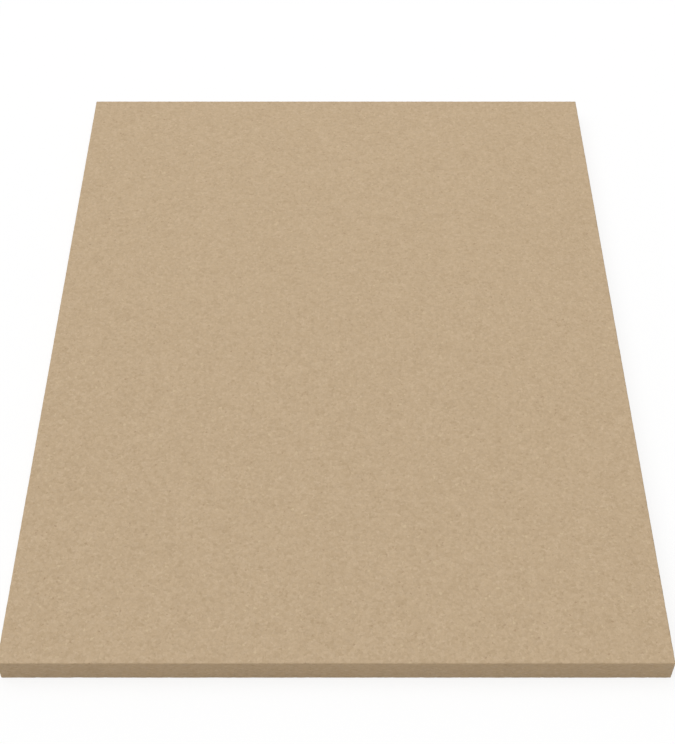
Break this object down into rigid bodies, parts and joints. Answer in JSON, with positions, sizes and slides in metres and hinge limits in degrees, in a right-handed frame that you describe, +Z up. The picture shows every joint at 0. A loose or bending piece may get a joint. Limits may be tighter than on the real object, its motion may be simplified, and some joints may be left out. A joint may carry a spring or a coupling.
{
  "type": "vermiculite fire board",
  "caption": "Flat rectangular vermiculite fire board with smooth pressed faces and square sawn edges, used to line stoves and fireplaces against heat.",
  "frame": {"origin": "middle of the underside, on the surface that the board lies on", "axes": "+X across the board's width, +Y along its length away from the picture's viewpoint, +Z up through its thickness"},
  "size_m": [0.6, 0.8, 0.025],
  "materials": {
    "pressed_vermiculite": "matte"
  },
  "bodies": {
    "root": {"fire_board": "pressed_vermiculite"}
  },
  "joints": []
}
